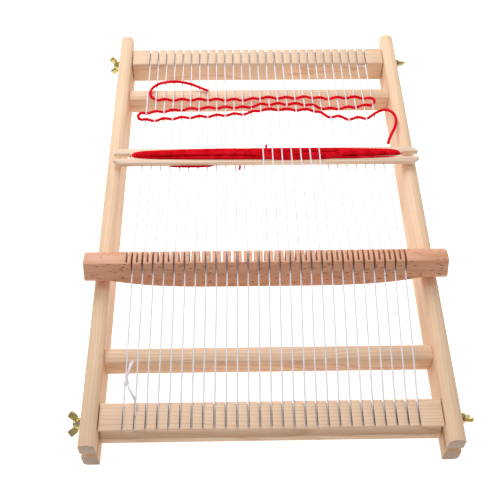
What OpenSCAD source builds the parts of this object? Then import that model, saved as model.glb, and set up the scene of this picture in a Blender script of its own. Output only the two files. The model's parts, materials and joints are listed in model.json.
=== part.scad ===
// Table-top frame loom with a rocking heddle bar, warped, with a loaded stick shuttle.
// X runs along the beams, Y from the weaver's edge to the far edge, Z up from the table.

/* [Frame] */
// Length of a side rail, front to back
rail_len = 400; // [340:1:520]
// Width of a side rail
rail_w = 11; // [10:0.5:18]
// Height of a side rail to the top of its crown
rail_h = 31; // [28:0.5:40]
// Rise of the crown across the rail's top
rail_crown = 2.8; // [1:0.1:3]
// Rounding of the rail's lower outer corner
rail_foot_r = 3.5; // [1:0.1:4]
// Clear width between the two rails
inner_w = 228; // [216:1:300]
// Height of the slots, studs and stretchers above the table
axis_h = 15.5; // [14.5:0.5:18]
// Depth of a stretcher, front to back
stretcher_w = 11.5; // [9:0.5:16]
// Height of a stretcher
stretcher_h = 17; // [13:0.5:20]
// Rise of the crown across the stretcher's top
stretcher_crown = 1.4; // [0.5:0.1:2]
// Distance of a stretcher's centre from the rail's end
stretcher_in = 69.5; // [50:0.5:90]

/* [Pegs] */
// Diameter of the wooden pegs in the stretcher joints
peg_d = 6; // [5:0.5:8]
// Depth of a peg in the rail
peg_in_rail = 8; // [6:0.5:9]
// Depth of a peg in the stretcher
peg_in_stretcher = 12; // [8:0.5:20]
// Clearance round a peg
peg_gap = 0.05; // [0.02:0.01:0.1]

/* [Beams] */
// Distance of a beam's centre from the rail's end
beam_in = 22.5; // [18:0.5:25]
// Depth of a beam, front to back
beam_w = 20; // [16:0.5:24]
// Height of a beam
beam_h = 20; // [18:0.5:24]
// Gap between the end of a beam and the rail
beam_gap = 0.6; // [0.5:0.1:2]
// Rounding of a beam's long edges
beam_edge_r = 1; // [0.5:0.1:2]
// Radius of the cove along a beam's outer face
cove_r = 6.2; // [5:0.1:7]
// Depth of that cove
cove_depth = 4.2; // [3:0.1:5]
// Height of the lip left above the cove
lip_h = 1.4; // [1:0.1:3]
// Depth of the thread kerfs
kerf_depth = 4; // [3:0.1:6]
// Width of a kerf
kerf_w = 1.3; // [1.2:0.1:2.2]
// Height of the open slot in a rail's end
slot_h = 6; // [5.6:0.1:8]
// Length of that slot
slot_len = 31; // [28:0.5:50]

/* [Studs and wing nuts] */
// Diameter of a stud
stud_d = 5; // [4:0.5:5]
// Length of a stud inside the beam
stud_in_beam = 24; // [15:1:30]
// Length of a stud past the rail
stud_out = 7; // [5:0.5:10]
// Clearance round a stud in the wing nut
nut_gap = 0.1; // [0.05:0.05:0.2]
// Gap between a wing nut and the rail
nut_stand = 0.3; // [0.2:0.1:1]
// Hub diameter of a wing nut
nut_hub_d = 9; // [8:0.5:12]
// Hub height of a wing nut
nut_hub_h = 5; // [4:0.5:7]
// Span of a wing nut over its wings
nut_span = 22; // [16:0.5:26]
// Width of a wing
nut_wing_w = 6; // [4:0.5:7]
// Thickness of a wing
nut_wing_t = 2.6; // [1.5:0.1:3]
// How far the wings flare out from the rail
nut_flare = 8.5; // [6:0.5:10]

/* [Heddle bar] */
// How far the heddle bar runs past each rail
heddle_past = 5; // [3:0.5:15]
// Thickness of the heddle bar, front to back
heddle_w = 19; // [16:0.5:20]
// Radius of the round underside that rocks on the rails
rocker_r = 11.7; // [11:0.1:14]
// Height of the side faces' upper edge above the rocking axis
shoulder_h = 5; // [4:0.1:7]
// Radius of the crowned top
heddle_top_r = 14.5; // [12:0.5:20]
// Depth of the belly below the rocking axis
belly_h = 14.2; // [11:0.1:16]
// Gap between the rocker and the rails
rocker_gap = 0.2; // [0.1:0.05:0.4]
// Angle of the bar from upright as it stands
rock_deg = 28; // [20:1:30]
// Place of the rocking axis along the rails
heddle_y = -66.9; // [-90:0.1:-30]
// Sideways place of the bar on the rails
heddle_x = -0.4; // [-1:0.1:1]
// Depth of a slot's open mouth below the shoulder
mouth_h = 9; // [7:0.1:10]

/* [Warp] */
// Number of warp threads
threads = 27; // [21:2:29]
// Distance between two warp threads
pitch = 7.5; // [6:0.05:7.7]
// Diameter of the warp thread
warp_d = 1; // [0.8:0.1:1.2]

/* [Shuttle] */
// Length of the shuttle stick
shuttle_len = 246; // [220:1:260]
// Width of the shuttle stick
shuttle_w = 16; // [12:0.5:20]
// Thickness of the shuttle stick
shuttle_t = 4; // [3:0.5:5]
// Lift of the stick above the rails, where the warp holds it
shuttle_lift = 2.5; // [2:0.1:4]
// Place of the shuttle's centre along the beams
shuttle_x = 3.5; // [0:0.5:6]
// Place of the shuttle's centre along the rails
shuttle_y = 44; // [30:0.5:50]
// Depth of the forks at its ends
fork_depth = 14; // [10:0.5:18]
// Width of the forks
fork_w = 5; // [4:0.5:6]
// Length of the corner cut on a prong
prong_cut = 5; // [2:0.5:8]
// Width left at the tip of a prong
prong_tip = 2; // [1:0.5:3]
// Width of the wound yarn
wound_w = 15.2; // [10:0.1:16]
// Thickness of the wound yarn above the stick
wound_up = 3.5; // [2:0.1:5]
// Thickness of the wound yarn under the stick
wound_down = 2; // [1:0.1:3]
// Number of threads that pass over the shuttle
over_count = 7; // [3:2:9]
// First thread that passes over the shuttle
over_first = 14; // [10:1:16]

/* [Weft] */
// Diameter of the weft yarn
weft_d = 2.4; // [2:0.1:3]

/* [Hidden] */
$fn = 48;

pine = "#E3C6A4";
beech = "#C98F6C";
zinc = "#C9B667";
cotton = "#EDEAF0";
red_yarn = "#C8141F";
bare_wood = "#E8D3B0";
over = 1; // how far a cutting shape runs past a face

rail_in = inner_w / 2;
rail_out = rail_in + rail_w;
beam_len = inner_w - 2 * beam_gap;
beam_y = rail_len / 2 - beam_in;
stretcher_y = rail_len / 2 - stretcher_in;
heddle_len = 2 * (rail_out + heddle_past);
beam_top = axis_h + beam_h / 2;
stud_hole_r = stud_d / 2 + peg_gap;
peg_hole_r = peg_d / 2 + peg_gap;
peg_end_gap = 0.5; // room left at both ends of a peg or stud
bevel = 0.6; // small corner cut on the rails

// heights of the warp where it bends
rocker_axis_h = rail_h + rocker_r + rocker_gap;
mouth_z = shoulder_h - mouth_h;
floor_h = rocker_axis_h + heddle_w / 2 * sin(rock_deg) + mouth_z * cos(rock_deg);
thread_gap = 0.05; // between the thread and the wood that it bears on
heddle_thread_h = floor_h + warp_d / 2 + thread_gap;
loop_drop = 0.7; // room between the lip and a loop, which lies in the cove
loop_h = beam_top - lip_h - warp_d / 2 - loop_drop;
loop_inset = 0.6; // loops lie this far inside the beam's outer face
loop_y = beam_y + beam_w / 2 - loop_inset;
loop_leg = 2.8; // length of a loop's legs inside the kerfs
loop_gap = 0.2; // gap between those legs and the threads
kerf_in_y = beam_y - beam_w / 2;
kerf_in_h = beam_top - 2.1;
slot_shift = heddle_x + pitch / 4;
slot_half_run = heddle_w / 2 * cos(rock_deg) + 2;

stick_h = rail_h + shuttle_lift;
under_h = stick_h - wound_down - warp_d / 2 - 0.1;
over_h = stick_h + shuttle_t + wound_up + warp_d / 2 + 0.2;
wound_shift = 1; // the yarn lies this far behind the stick's middle

// the weft's way: tail, three rows, the slack loop and the end at the shuttle
weft_route = [[-45, 131, 27], [-52, 135.5, 26.5], [-60, 140, 26.5], [-70, 143, 26.5],
    [-79, 143, 26.5], [-87, 141, 26.5], [-92.5, 136.5, 26.5], [-94.5, 131.5, 26.5],
    [-93.5, 126, 26.5], [-89, 121.5, 27], [-80, 120.5, 27], [-52, 120.5, 27],
    [-25, 120, 27], [-8, 119.5, 27.5], [3, 117.5, 30.5], [12, 117, 31.3], [22, 116.8, 31.5],
    [32, 116.8, 31.3], [42, 117.8, 30], [52, 120, 27.5], [67, 121.5, 27], [82, 122, 27],
    [92, 121, 27.5], [98, 118.5, 27.5], [99, 115, 27.5], [96, 112.5, 27.5], [90, 111.5, 27.5],
    [82, 109.5, 27.5], [70, 107.8, 27.5], [53, 107, 28], [43, 106.5, 31.5], [32, 107.5, 32.7],
    [22, 107.8, 33], [12, 107.8, 32.7], [3, 107.8, 31.5], [-8, 109.5, 28.5], [-25, 110, 27.5],
    [-51, 109, 27.5], [-80, 105.8, 27.5], [-96, 103.5, 27.5], [-101.5, 102.5, 27.5],
    [-103.5, 100.5, 27.5], [-102, 98.5, 28], [-98, 97, 28], [-91, 94, 28], [-81, 95.5, 28],
    [-66, 97, 28], [-51, 98.2, 28], [-36, 99.5, 28], [-21, 101, 28], [-8, 101.8, 29],
    [2, 100.5, 32.8], [12, 100, 34.2], [23, 99.8, 34.3], [34, 99, 34], [43, 99.5, 31.5],
    [51, 100, 28.7], [59, 97, 28], [66, 97, 28], [75, 94, 28], [84, 95, 28], [91, 95, 28.5],
    [96, 97.5, 29], [100.5, 99.8, 30], [105.5, 100.7, 31.5], [110, 98.5, 32.7], [113, 94.5, 33],
    [114.2, 89, 33.2], [113.6, 83, 33.4], [111.5, 76.5, 33.6], [109, 71, 34.5],
    [106.5, 65, 36], [104, 58.5, 37.8], [102.8, 54, 39.3]];

function unit(v) = v / norm(v);
function mix(a, b, t) = a + (b - a) * t;

// crowned top of a bar of width w and height h, as points from left to right
function crown(w, h, rise, steps = 10) =
    let (r = (w * w / 4 + rise * rise) / (2 * rise), a = asin(w / 2 / r))
    [for (i = [0:steps]) let (t = mix(-a, a, i / steps)) [w / 2 + r * sin(t), h - r + r * cos(t)]];

// quarter round about (x, y) from angle a0 to a1
function corner(x, y, r, a0, a1, steps = 5) =
    [for (i = [0:steps]) let (a = mix(a0, a1, i / steps)) [x + r * cos(a), y + r * sin(a)]];

// places of the threads along the beams
function thread_x(i) = (i - (threads + 1) / 2) * pitch;
function goes_over(i) = i >= over_first && i < over_first + over_count;
function at_y(a, b, y) = mix(a, b, (y - a[1]) / (b[1] - a[1]));

// direction of a route at one of its points
function heading(p, i) = unit(p[min(i + 1, len(p) - 1)] - p[max(i - 1, 0)]);
function ring(p, i, r, sides) =
    let (t = heading(p, i), s = unit(cross(t, [0, 0, 1])), u = cross(s, t))
    [for (k = [0:sides - 1]) p[i] + r * (cos(360 * k / sides) * s + sin(360 * k / sides) * u)];

module tube(p, d, sides = 8) {
    rings = len(p);
    points = [for (i = [0:rings - 1]) each ring(p, i, d / 2, sides)];
    walls = [for (i = [0:rings - 2], k = [0:sides - 1]) let (n = (k + 1) % sides)
        [i * sides + k, i * sides + n, (i + 1) * sides + n, (i + 1) * sides + k]];
    caps = [[for (k = [sides - 1:-1:0]) k], [for (k = [0:sides - 1]) (rings - 1) * sides + k]];
    polyhedron(points, concat(walls, caps), convexity = 6);
}

// a bar along X with its section given in Y and Z
module along_x(length) {
    translate([-length / 2, 0, 0]) rotate([90, 0, 90]) linear_extrude(length) children();
}

module x_rod(r, x0, x1) {
    translate([x0, 0, 0]) rotate([0, 90, 0]) cylinder(r = r, h = x1 - x0);
}

// ---- side rails -------------------------------------------------------------

module rail_profile() {
    polygon(concat([[bevel, 0], [0, bevel]], crown(rail_w, rail_h, rail_crown),
        corner(rail_w - rail_foot_r, rail_foot_r, rail_foot_r, 0, -90)));
}

// the open slot at one end that the stud slides in
module rail_slot() {
    slot_r = slot_h / 2;
    translate([rail_in - over, rail_len / 2 - slot_len + slot_r, axis_h - slot_r])
        cube([rail_w + 2 * over, slot_len - slot_r + over, slot_h]);
    translate([0, rail_len / 2 - slot_len + slot_r, axis_h])
        x_rod(slot_r, rail_in - over, rail_out + over);
}

module right_side_rail() {
    color(pine) difference() {
        translate([rail_in, rail_len / 2, 0]) rotate([90, 0, 0])
            linear_extrude(rail_len) rail_profile();
        for (side = [0, 1]) mirror([0, side, 0]) {
            rail_slot();
            translate([0, stretcher_y, axis_h])
                x_rod(peg_hole_r, rail_in - over, rail_in + peg_in_rail + peg_end_gap);
        }
    }
}

module left_side_rail() {
    mirror([1, 0, 0]) right_side_rail();
}

// ---- stretchers and their pegs ----------------------------------------------

module stretcher() {
    bottom = axis_h - stretcher_h / 2;
    color(pine) difference() {
        translate([0, -stretcher_w / 2, bottom]) along_x(inner_w)
            polygon(concat([[bevel, 0], [0, bevel]], crown(stretcher_w, stretcher_h, stretcher_crown),
                [[stretcher_w, bevel], [stretcher_w - bevel, 0]]));
        for (side = [0, 1]) mirror([side, 0, 0]) translate([0, 0, axis_h])
            x_rod(peg_hole_r, rail_in - peg_in_stretcher - peg_end_gap, rail_in + over);
    }
}

module front_stretcher() {
    translate([0, -stretcher_y, 0]) stretcher();
}

module back_stretcher() {
    translate([0, stretcher_y, 0]) stretcher();
}

module stretcher_pegs() {
    color(bare_wood) for (sx = [0, 1], sy = [-1, 1]) mirror([sx, 0, 0])
        translate([0, sy * stretcher_y, axis_h])
            x_rod(peg_d / 2, rail_in - peg_in_stretcher, rail_in + peg_in_rail);
}

// ---- warp beams, studs and wing nuts ----------------------------------------

// beam at the far end, its cove on the outer side
module warp_beam() {
    r = beam_edge_r;
    cove_out = cove_r - cove_depth;
    cove_drop = sqrt(cove_r * cove_r - cove_out * cove_out);
    color(pine) difference() {
        translate([0, beam_y - beam_w / 2, axis_h - beam_h / 2]) along_x(beam_len)
            polygon(concat(corner(r, r, r, 180, 270), corner(beam_w - r, r, r, 270, 360),
                corner(beam_w - lip_h / 2, beam_h - lip_h / 2, lip_h / 2, 0, 90),
                corner(r, beam_h - r, r, 90, 180)));
        translate([0, beam_y + beam_w / 2 + cove_out, beam_top - lip_h - cove_drop])
            x_rod(cove_r, -inner_w / 2, inner_w / 2);
        for (i = [1:threads])
            translate([thread_x(i) - kerf_w / 2, beam_y - beam_w / 2 - over, beam_top - kerf_depth])
                cube([kerf_w, beam_w + 2 * over, kerf_depth + over]);
        for (side = [0, 1]) mirror([side, 0, 0]) translate([0, beam_y, axis_h])
            x_rod(stud_hole_r, beam_len / 2 - stud_in_beam - peg_end_gap, inner_w / 2);
    }
}

module back_warp_beam() {
    warp_beam();
}

module front_warp_beam() {
    mirror([0, 1, 0]) warp_beam();
}

module beam_studs() {
    color(zinc) for (side = [0, 1]) mirror([side, 0, 0]) translate([0, beam_y, axis_h])
        x_rod(stud_d / 2, beam_len / 2 - stud_in_beam, rail_out + stud_out);
}

module back_beam_studs() {
    beam_studs();
}

module front_beam_studs() {
    mirror([0, 1, 0]) beam_studs();
}

// wing nut standing on the XY plane, its wings along X
module wing_nut() {
    wing_len = nut_span / 2 - nut_hub_d / 4;
    difference() {
        union() {
            cylinder(d = nut_hub_d, h = nut_hub_h);
            for (side = [0, 1]) mirror([side, 0, 0])
                translate([nut_hub_d / 4, -nut_wing_t / 2, nut_hub_h / 2]) rotate([0, -42, 0]) {
                    translate([0, 0, -nut_wing_w / 2])
                        cube([wing_len - nut_wing_w / 2, nut_wing_t, nut_wing_w]);
                    translate([wing_len - nut_wing_w / 2, 0, 0]) rotate([-90, 0, 0])
                        cylinder(d = nut_wing_w, h = nut_wing_t);
                }
        }
        translate([0, 0, -over]) cylinder(r = stud_d / 2 + nut_gap, h = nut_flare + 2 * nut_hub_h);
        translate([-nut_span, -nut_span, -nut_span]) cube([2 * nut_span, 2 * nut_span, nut_span]);
    }
}

// side is 1 on the right and -1 on the left, turn sets where the wings point
module placed_wing_nut(side, y, turn) {
    color(zinc) translate([side * (rail_out + nut_stand), y, axis_h])
        rotate([0, side * 90, 0]) rotate([0, 0, turn]) wing_nut();
}

module front_left_wing_nut() {
    placed_wing_nut(-1, -beam_y, 38);
}

module front_right_wing_nut() {
    placed_wing_nut(1, -beam_y, 35);
}

module back_left_wing_nut() {
    placed_wing_nut(-1, beam_y, 12);
}

module back_right_wing_nut() {
    placed_wing_nut(1, beam_y, 40);
}

// ---- heddle bar -------------------------------------------------------------

// underside of the belly at a distance x from the bar's middle
belly_half = rail_in - 2;
belly_end_h = 8.2;
function belly_z(x) = -belly_h + (belly_h - belly_end_h) * pow(abs(x) / belly_half, 4);

module heddle_blank() {
    half = heddle_w / 2;
    crown_z = shoulder_h - sqrt(heddle_top_r * heddle_top_r - half * half);
    intersection() {
        translate([-heddle_len / 2, -half, 0]) cube([heddle_len, heddle_w, heddle_top_r]);
        translate([0, 0, crown_z]) x_rod(heddle_top_r, -heddle_len / 2, heddle_len / 2);
    }
    intersection() {
        translate([-heddle_len / 2, -half, -rocker_r]) cube([heddle_len, heddle_w, rocker_r]);
        x_rod(rocker_r, -heddle_len / 2, heddle_len / 2);
    }
    translate([0, half, 0]) rotate([90, 0, 0]) linear_extrude(heddle_w)
        polygon(concat([[-belly_half, 0]], [for (i = [-12:12]) let (x = i / 12 * belly_half)
            [x, belly_z(x)]], [[belly_half, 0]]));
}

// slot whose floor rises from the mouth at -Y to the far shoulder
module heddle_slot(x) {
    translate([x - kerf_w / 2, -heddle_w / 2, mouth_z]) rotate([rock_deg, 0, 0])
        translate([0, -mouth_h, 0]) cube([kerf_w, 3 * heddle_w, 2 * heddle_w]);
}

module heddle_bar() {
    color(beech) translate([heddle_x, heddle_y, rocker_axis_h]) rotate([-rock_deg, 0, 0])
        difference() {
            heddle_blank();
            for (i = [1:threads]) {
                heddle_slot(thread_x(i) + pitch / 4);
                mirror([0, 1, 0]) heddle_slot(thread_x(i) - pitch / 4);
            }
        }
}

// ---- warp -------------------------------------------------------------------

// a thread's bends, from the front beam to the back beam
function front_bend(i) = [thread_x(i), -loop_y, loop_h];
function mouth_bend(i) = [thread_x(i) + slot_shift, heddle_y - slot_half_run, heddle_thread_h];
function shoulder_bend(i) = [thread_x(i) + slot_shift, heddle_y + slot_half_run, heddle_thread_h];
function shuttle_bend(i) = [thread_x(i) + slot_shift / 2,
    shuttle_y + (goes_over(i) ? wound_shift : 0), goes_over(i) ? over_h : under_h];
function back_bend(i) = [thread_x(i), kerf_in_y, kerf_in_h];
function middle(i) = [thread_x(i) + slot_shift, heddle_y, heddle_thread_h];

module warp_front_run() {
    color(cotton) for (i = [1:threads])
        tube([at_y(front_bend(i), mouth_bend(i), -loop_y + loop_leg), mouth_bend(i), middle(i)], warp_d);
}

module warp_back_run() {
    color(cotton) for (i = [1:threads])
        tube([middle(i) + [0, 0.1, 0], shoulder_bend(i), shuttle_bend(i), back_bend(i),
            [thread_x(i), loop_y - loop_leg, loop_h]], warp_d);
}

// loop round the tooth between threads i and i + 1 of the beam at the far end
module tooth_loop(i) {
    x0 = thread_x(i);
    x1 = thread_x(i + 1);
    leg = loop_leg - loop_gap;
    tube([[x0, loop_y - leg, loop_h], [x0, loop_y - 0.7, loop_h], [x0 + 0.7, loop_y, loop_h],
        [x1 - 0.7, loop_y, loop_h], [x1, loop_y - 0.7, loop_h], [x1, loop_y - leg, loop_h]], warp_d);
}

module back_warp_loops() {
    color(cotton) for (i = [1:2:threads - 2]) tooth_loop(i);
}

module front_warp_loops() {
    color(cotton) mirror([0, 1, 0]) for (i = [2:2:threads - 1]) tooth_loop(i);
}

// the end at the first slot comes back through the second one and is knotted
module front_warp_tie() {
    knot_from_beam = 12.5;
    knot = at_y(front_bend(1), mouth_bend(1), knot_from_beam - kerf_in_y) + [0.6, 0, 0.4];
    rise = [0, 0, warp_d + 0.1];
    color(cotton) {
        tube([at_y(front_bend(2), mouth_bend(2), -loop_y + 2 * loop_leg) + rise,
            at_y(front_bend(2), mouth_bend(2), -kerf_in_y - 3) + rise, knot], warp_d);
        translate(knot) sphere(d = 2.4 * warp_d, $fn = 12);
        tube([knot, knot + [0.6, 6, 2.4], knot + [2.6, 12, 3.4], knot + [3.2, 15, 3.6]], 0.7 * warp_d);
    }
}

// the other end crosses the inner face of the back beam before its knot
module back_warp_tie() {
    y = kerf_in_y - warp_d / 2 - 0.1;
    color(cotton) tube([[thread_x(threads - 1), y, kerf_in_h],
        [thread_x(threads) - pitch / 2, y, kerf_in_h - 0.4], [thread_x(threads), y, kerf_in_h]], warp_d);
}

// ---- shuttle and weft -------------------------------------------------------

module shuttle_stick() {
    half_l = shuttle_len / 2;
    half_w = shuttle_w / 2;
    cut_y = (shuttle_w - fork_w) / 2 - prong_tip;
    color(bare_wood) translate([shuttle_x, shuttle_y, stick_h]) difference() {
        linear_extrude(shuttle_t) polygon([
            [-half_l, cut_y - half_w], [prong_cut - half_l, -half_w], [half_l - prong_cut, -half_w],
            [half_l, cut_y - half_w], [half_l, half_w - cut_y], [half_l - prong_cut, half_w],
            [prong_cut - half_l, half_w], [-half_l, half_w - cut_y]]);
        for (end = [0, 1]) mirror([end, 0, 0]) {
            translate([half_l - fork_depth + fork_w / 2, -fork_w / 2, -over])
                cube([fork_depth, fork_w, shuttle_t + 2 * over]);
            translate([half_l - fork_depth + fork_w / 2, 0, -over])
                cylinder(d = fork_w, h = shuttle_t + 2 * over);
        }
    }
}

// outline of the wound yarn: fullest in the middle, blunt at the forks
module shuttle_yarn() {
    into_fork = 0.5;
    half = shuttle_len / 2 - fork_depth + into_fork;
    steps = 20;
    sides = 16;
    mid_z = stick_h + shuttle_t / 2;
    up = shuttle_t / 2 + wound_up;
    down = shuttle_t / 2 + wound_down;
    taper = 0.3;
    function swell(t) = (1 - taper * pow(abs(t), 1.6)) * sqrt(1 - pow(abs(t), 30));
    stations = [for (i = [0:steps]) let (t = sin(mix(-87, 87, i / steps))) t];
    points = [for (t = stations, k = [0:sides - 1]) let (a = 360 * k / sides, s = swell(t))
        [shuttle_x + half * t, shuttle_y + wound_shift * s + wound_w / 2 * s * cos(a),
            mid_z + (sin(a) > 0 ? up : down) * s * sin(a)]];
    walls = [for (i = [0:steps - 1], k = [0:sides - 1]) let (n = (k + 1) % sides)
        [i * sides + k, (i + 1) * sides + k, (i + 1) * sides + n, i * sides + n]];
    caps = [[for (k = [0:sides - 1]) k], [for (k = [sides - 1:-1:0]) steps * sides + k]];
    color(red_yarn) polyhedron(points, concat(walls, caps), convexity = 4);
}

module weft_yarn() {
    color(red_yarn) tube(weft_route, weft_d);
}

left_side_rail();
right_side_rail();
front_stretcher();
back_stretcher();
stretcher_pegs();
front_warp_beam();
back_warp_beam();
front_beam_studs();
back_beam_studs();
front_left_wing_nut();
front_right_wing_nut();
back_left_wing_nut();
back_right_wing_nut();
heddle_bar();
shuttle_stick();
shuttle_yarn();
warp_front_run();
warp_back_run();
front_warp_loops();
back_warp_loops();
front_warp_tie();
back_warp_tie();
weft_yarn();
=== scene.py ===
import json
import math
import random

import bmesh
import bpy
from mathutils import Matrix, Vector


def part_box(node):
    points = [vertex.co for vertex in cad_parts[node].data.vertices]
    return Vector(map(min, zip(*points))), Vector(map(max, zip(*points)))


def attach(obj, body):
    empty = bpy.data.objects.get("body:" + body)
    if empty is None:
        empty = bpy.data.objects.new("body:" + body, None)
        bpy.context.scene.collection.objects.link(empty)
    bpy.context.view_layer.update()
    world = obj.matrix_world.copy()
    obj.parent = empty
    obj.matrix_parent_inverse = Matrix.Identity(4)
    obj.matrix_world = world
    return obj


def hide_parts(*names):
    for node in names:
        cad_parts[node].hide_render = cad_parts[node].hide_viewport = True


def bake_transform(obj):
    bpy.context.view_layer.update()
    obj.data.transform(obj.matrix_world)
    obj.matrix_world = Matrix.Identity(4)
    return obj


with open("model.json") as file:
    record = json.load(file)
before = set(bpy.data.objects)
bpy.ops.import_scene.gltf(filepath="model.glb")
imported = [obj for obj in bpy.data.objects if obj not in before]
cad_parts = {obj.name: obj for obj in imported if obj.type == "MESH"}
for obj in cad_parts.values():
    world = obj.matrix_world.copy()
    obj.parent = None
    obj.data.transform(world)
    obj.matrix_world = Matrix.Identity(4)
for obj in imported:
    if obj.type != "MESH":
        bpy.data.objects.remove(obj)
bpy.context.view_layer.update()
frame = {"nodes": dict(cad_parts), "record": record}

# Sizes are written in millimetres and turned to metres where a mesh is made.
MM = 0.001


def box_mm(node):
    """A CAD node's lowest and highest corners, in millimetres."""
    low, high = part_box(node)
    return Vector(low) / MM, Vector(high) / MM


back_beam_low, back_beam_high = box_mm("back_warp_beam")
rail_high = box_mm("right_side_rail")[1]
stick_low, stick_high = box_mm("shuttle_stick")
rock_joint = next(j for j in frame["record"]["behaviour"]["joints"] if j["name"] == "heddle_rock")
axis_y, axis_z = rock_joint["pos_m"][1] / MM, rock_joint["pos_m"][2] / MM

THREADS = 27
PITCH = 7.5  # distance between two warp threads
WARP_D = 1.0
WEFT_D = 2.4
RAISED = range(14, 21)  # the threads that pass over the shuttle
LOOP_Y = back_beam_high.y - 0.6
LOOP_Z = back_beam_high.z - 2.6
KERF_IN = Vector((0, back_beam_low.y, back_beam_high.z - 2.1))
SLOT_SHIFT = 1.475  # the heddle's slots stand this far to the right of the beams' kerfs
SLOT_HALF = 10.39  # half the level run of a thread through the heddle bar
SLOT_Z = axis_z + 1.48
UNDER_Z = stick_low.z - 2.6
OVER_Z = stick_high.z + 4.5
WOUND_SHIFT = 1.0  # the yarn lies this far behind the stick's middle
WOVEN_FROM, WOVEN_TO = 85, 132  # the weft crosses the warp between these
STICK_Y = (stick_low.y + stick_high.y) / 2


def mix(a, b, t):
    return a + (b - a) * t


# ---- camera -----------------------------------------------------------------

def aim(place, pitch, yaw, roll):
    """A camera's matrix from its place and its angles: down, to the right, and about its own axis."""
    p, w, r = math.radians(pitch), math.radians(yaw), math.radians(roll)
    ahead = Vector((math.sin(w) * math.cos(p), math.cos(w) * math.cos(p), -math.sin(p)))
    right = Vector((math.cos(w), -math.sin(w), 0))
    down = ahead.cross(right)
    x_axis = math.cos(r) * right + math.sin(r) * down
    y_axis = math.sin(r) * right - math.cos(r) * down
    turn = Matrix((x_axis, y_axis, -ahead)).transposed().to_4x4()
    return Matrix.Translation(Vector(place) * MM) @ turn


camera_data = bpy.data.cameras.new("studio_camera")
camera_data.sensor_width = 36
camera_data.lens = 60.37
camera = bpy.data.objects.new("studio_camera", camera_data)
camera.matrix_world = aim((-23.09, -419.64, 533.9), 53.405, 1.771, -0.79)
bpy.context.scene.collection.objects.link(camera)
bpy.context.scene.camera = camera


# ---- small helpers ----------------------------------------------------------

def paint(hex_code):
    """An sRGB hex colour as the linear colour that a shader takes."""
    parts = [int(hex_code[k:k + 2], 16) / 255 for k in (1, 3, 5)]
    return [c / 12.92 if c <= 0.04045 else ((c + 0.055) / 1.055) ** 2.4 for c in parts] + [1]


def add(tree, kind, inputs=None, **settings):
    """A node with its settings, and its inputs set or linked."""
    made = tree.nodes.new(kind)
    for key, value in settings.items():
        setattr(made, key, value)
    for key, value in (inputs or {}).items():
        if isinstance(value, bpy.types.NodeSocket):
            tree.links.new(value, made.inputs[key])
        else:
            made.inputs[key].default_value = value
    return made


def start_material(name):
    """An empty material, its tree, and its surface shader."""
    material = bpy.data.materials.new(name)
    material.use_nodes = True
    tree = material.node_tree
    tree.nodes.clear()
    shader = add(tree, "ShaderNodeBsdfPrincipled")
    add(tree, "ShaderNodeOutputMaterial", {"Surface": shader.outputs[0]})
    return material, tree, shader


def show(obj):
    bpy.context.scene.collection.objects.link(obj)
    return obj


def mesh_piece(name, points, faces, material, smooth=True):
    """A mesh object from points in millimetres."""
    mesh = bpy.data.meshes.new(name)
    mesh.from_pydata([Vector(p) * MM for p in points], [], faces)
    mesh.materials.append(material)
    mesh.polygons.foreach_set("use_smooth", [smooth] * len(mesh.polygons))
    mesh.update()
    return show(bpy.data.objects.new(name, mesh))


def ring_faces(count, sides, base=0, ends=True):
    """Faces between count + 1 rings of points, the first of them at base, and over both ends."""
    faces = [(base + r * sides + s, base + r * sides + (s + 1) % sides,
        base + (r + 1) * sides + (s + 1) % sides, base + (r + 1) * sides + s)
        for r in range(count) for s in range(sides)]
    if ends:
        far = base + count * sides
        faces += [tuple(reversed(range(base, base + sides))), tuple(range(far, far + sides))]
    return faces


def face_outwards(obj, merge=None):
    """The object with its faces turned outwards, after points nearer than merge are joined."""
    work = bmesh.new()
    work.from_mesh(obj.data)
    if merge:
        bmesh.ops.remove_doubles(work, verts=work.verts, dist=merge * MM)
    bmesh.ops.recalc_face_normals(work, faces=work.faces)
    work.to_mesh(obj.data)
    work.free()


def bake(obj):
    """The object with its modifiers worked into its mesh."""
    view = bpy.context.evaluated_depsgraph_get()
    view.update()
    mesh = bpy.data.meshes.new_from_object(obj.evaluated_get(view))
    name = obj.name
    bpy.data.objects.remove(obj)
    mesh.name = name
    return show(bpy.data.objects.new(name, mesh))


# ---- wood -------------------------------------------------------------------

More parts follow.
